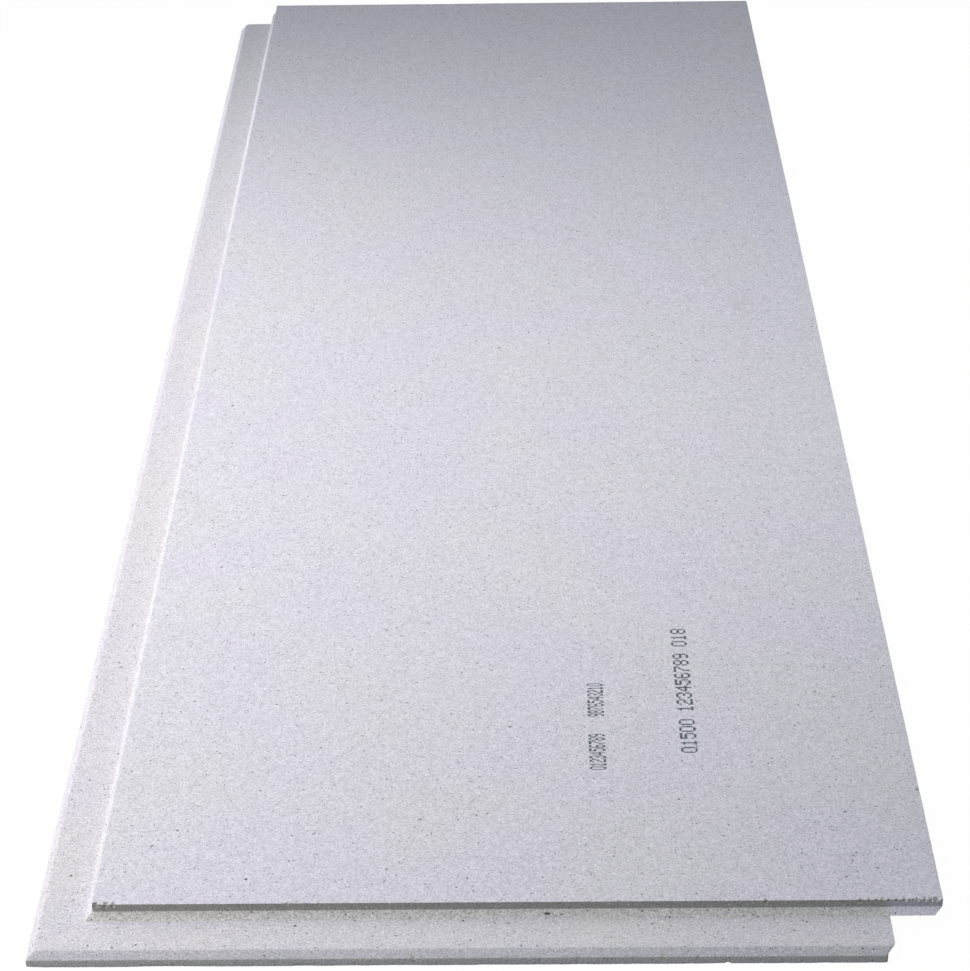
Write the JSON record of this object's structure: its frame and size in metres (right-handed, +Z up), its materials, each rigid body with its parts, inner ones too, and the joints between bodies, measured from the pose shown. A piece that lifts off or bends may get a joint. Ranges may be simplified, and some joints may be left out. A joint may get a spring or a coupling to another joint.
{
  "type": "gypsum fibre floor board",
  "caption": "Flat dry-screed floor board with stepped glue edges: a low tongue along two sides and an overhanging lip along the other two.",
  "frame": {"origin": "middle of the board's underside, taken over the whole outline with tongues and lips", "axes": "+Y along the board's length, towards the far lip; +X across its width, towards the side lip; +Z up, out of the walking face"},
  "size_m": [0.535, 1.535, 0.018],
  "materials": {
    "gypsum_fibre": "matte"
  },
  "bodies": {
    "root": {"floor_board": "gypsum_fibre"}
  },
  "joints": []
}
